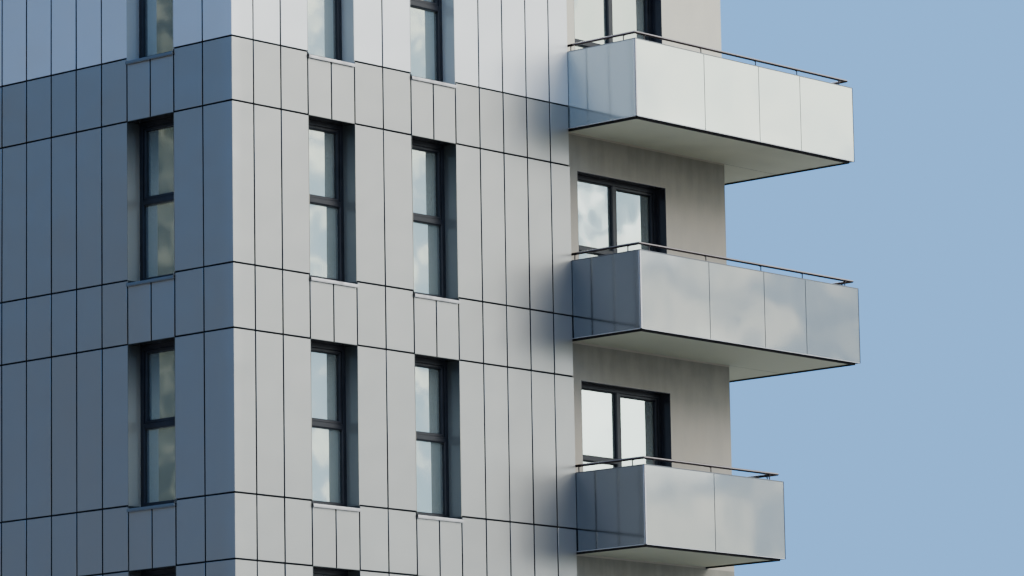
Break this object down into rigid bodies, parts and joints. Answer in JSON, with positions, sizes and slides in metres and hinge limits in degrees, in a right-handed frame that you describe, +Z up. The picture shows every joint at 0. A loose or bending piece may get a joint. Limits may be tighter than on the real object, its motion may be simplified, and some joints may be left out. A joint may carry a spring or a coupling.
{
  "type": "apartment block",
  "caption": "Apartment block corner clad in grey and white metal cassettes, with tall dark windows and a rendered bay with panelled balconies",
  "frame": {"origin": "centre of the underside of the base slab, at ground level", "axes": "+X along the front wall towards the rendered bay, +Y from the front wall into the block, +Z up"},
  "size_m": [11.668, 13.093, 18.908],
  "materials": {
    "concrete": "matte",
    "insulated_wall": "matte",
    "render_coat": "matte",
    "grey_cassette": "satin",
    "white_cassette": "satin",
    "sheet_metal": "satin",
    "window_frame": "satin",
    "glazing": "gloss",
    "balcony_panel": "gloss",
    "handrail_steel": "satin",
    "soffit_concrete": "matte"
  },
  "bodies": {
    "root": {"base_slab": "concrete", "floor_slab_1": "concrete", "floor_slab_2": "concrete", "floor_slab_3": "concrete", "floor_slab_4": "concrete", "floor_slab_5": "concrete", "roof_slab": "concrete", "front_piers": "insulated_wall", "left_piers": "insulated_wall", "right_piers": "insulated_wall", "back_piers": "insulated_wall", "front_bay_wall": "render_coat", "right_bay_wall": "render_coat", "front_spandrels": "insulated_wall", "left_spandrels": "insulated_wall", "right_spandrels": "insulated_wall", "back_spandrels": "insulated_wall", "bay_lintels": "render_coat", "coping": "sheet_metal", "front_cassettes": "grey_cassette", "left_cassettes": "grey_cassette", "right_cassettes": "grey_cassette", "back_cassettes": "grey_cassette", "corner_cassettes": "grey_cassette", "top_cassettes": "white_cassette", "window_linings": "grey_cassette", "window_sills": "sheet_metal", "front_window_frames": "window_frame", "left_window_frames": "window_frame", "right_window_frames": "window_frame", "back_window_frames": "window_frame", "balcony_door_frames": "window_frame", "front_glass": "glazing", "left_glass": "glazing", "right_glass": "glazing", "back_glass": "glazing", "balcony_slab_1": "soffit_concrete", "balcony_slab_2": "soffit_concrete", "balcony_slab_3": "soffit_concrete", "balcony_slab_4": "soffit_concrete", "balcony_slab_5": "soffit_concrete", "short_balcony_panels": "balcony_panel", "long_balcony_panels": "balcony_panel", "short_handrails": "handrail_steel", "long_handrails": "handrail_steel"}
  },
  "joints": []
}
